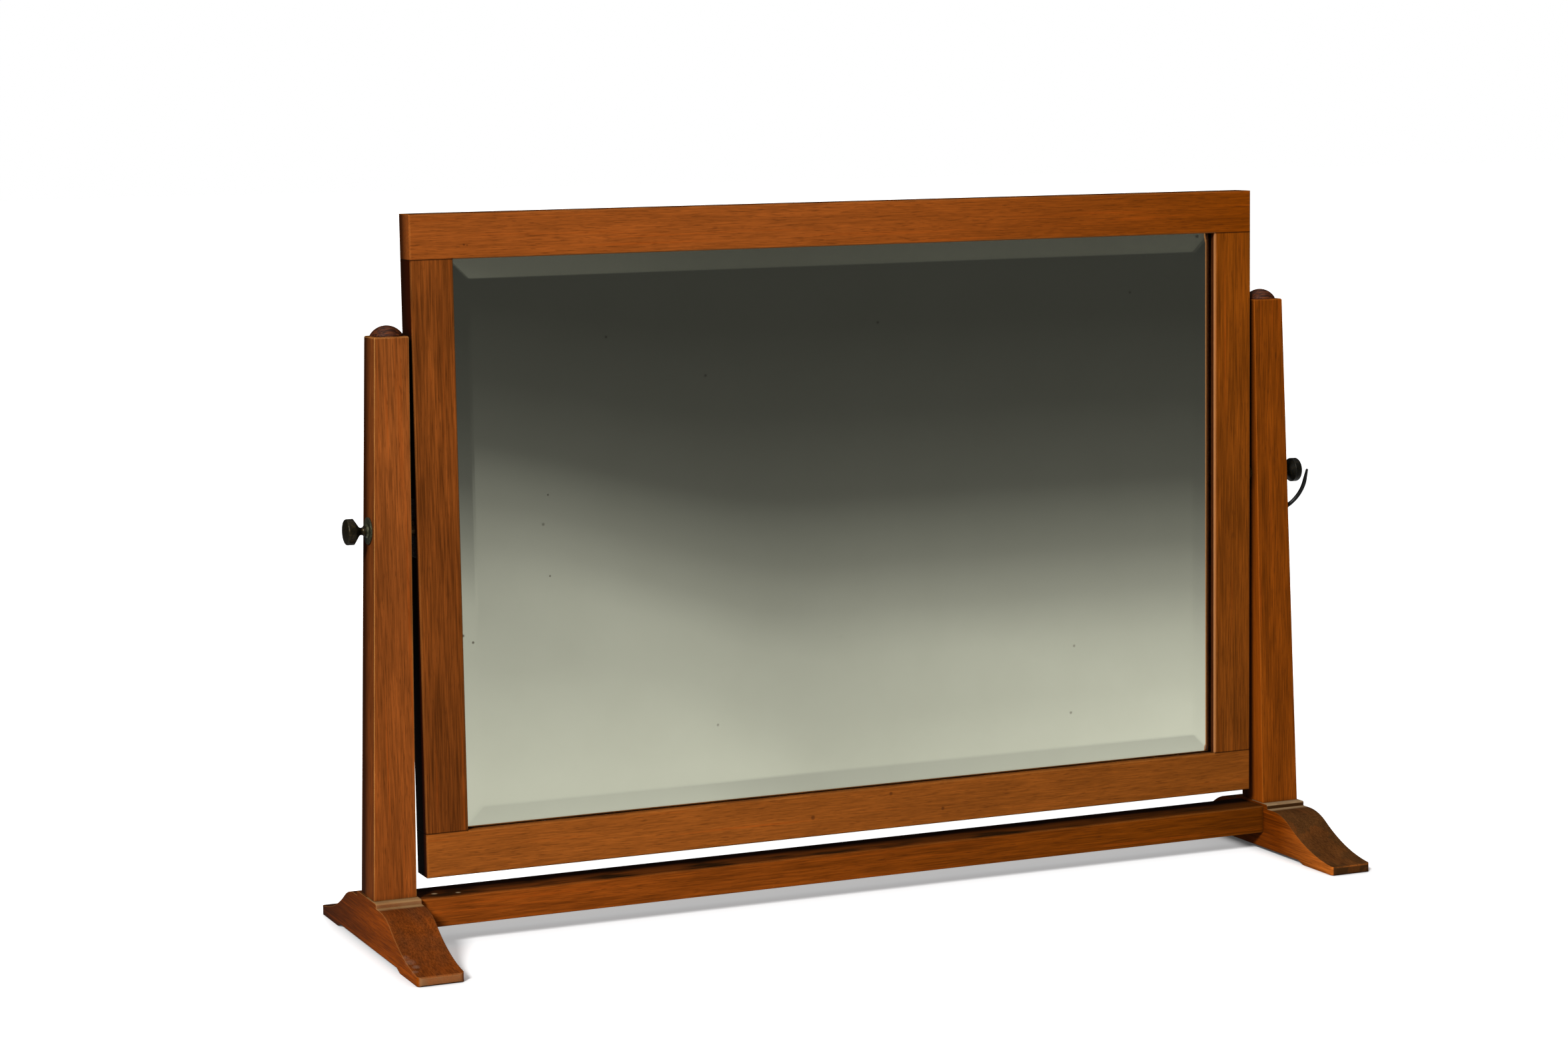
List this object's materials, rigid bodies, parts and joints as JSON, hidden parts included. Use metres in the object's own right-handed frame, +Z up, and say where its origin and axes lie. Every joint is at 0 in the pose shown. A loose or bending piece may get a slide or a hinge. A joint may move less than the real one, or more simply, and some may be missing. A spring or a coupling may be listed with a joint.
{
  "type": "dressing table mirror",
  "caption": "Swing mirror: bevelled plate in a tenoned wooden frame, on thumb screws between leaning tapered posts with ogee feet and a stretcher.",
  "frame": {"origin": "on the table, midway between the feet and midway between their toes", "axes": "+Z up, +X to the right as seen from the front, so the mirror faces -Y"},
  "size_m": [0.7551, 0.231, 0.5043],
  "materials": {
    "oak": "waxed, golden brown",
    "dark_wood": "polished, red brown",
    "pine": "bare, darkened by age",
    "mirror_plate": "silvered and bevelled",
    "aged_brass": "dark patina",
    "screw_brass": "dull",
    "dark_iron": "blackened"
  },
  "bodies": {
    "stand": {"left_foot": "oak", "right_foot": "oak", "left_post": "oak", "right_post": "oak", "stretcher": "oak", "left_finial": "dark_wood", "right_finial": "dark_wood", "left_rose": "aged_brass", "right_rose": "aged_brass", "hook": "dark_iron"},
    "mirror": {"top_rail": "oak", "bottom_rail": "oak", "left_stile": "oak", "right_stile": "oak", "mirror_glass": "mirror_plate", "glass_blocks": "pine", "back_board": "pine", "back_screws": "screw_brass", "left_pivot_plate": "screw_brass", "right_pivot_plate": "screw_brass", "plate_screws": "screw_brass", "left_spacer": "screw_brass", "right_spacer": "screw_brass"},
    "left_washer": {"left_washer": "aged_brass"},
    "right_washer": {"right_washer": "aged_brass"},
    "left_knob": {"left_knob": "aged_brass"},
    "right_knob": {"right_knob": "aged_brass"}
  },
  "joints": [
    {"name": "mirror_swing", "type": "hinge", "parent": "stand", "child": "mirror", "pos_m": [0, 0, 0.2902], "axis": [1, 0, 0], "continuous": true},
    {"name": "left_screw_travel", "type": "slide", "parent": "mirror", "child": "left_washer", "axis": [-1, 0, 0], "range_m": [0, 0.00106]},
    {"name": "left_screw_turn", "type": "hinge", "parent": "left_washer", "child": "left_knob", "pos_m": [-0.37, 0, 0.2902], "axis": [-1, 0, 0], "range_deg": [0, 360]},
    {"name": "right_screw_travel", "type": "slide", "parent": "mirror", "child": "right_washer", "axis": [1, 0, 0], "range_m": [0, 0.00106]},
    {"name": "right_screw_turn", "type": "hinge", "parent": "right_washer", "child": "right_knob", "pos_m": [0.37, 0, 0.2902], "axis": [1, 0, 0], "range_deg": [0, 360]}
  ],
  "couplings": [
    {"joint": "left_screw_turn", "follows": "left_screw_travel", "rad_per_m": 5927},
    {"joint": "right_screw_turn", "follows": "right_screw_travel", "rad_per_m": 5927}
  ]
}
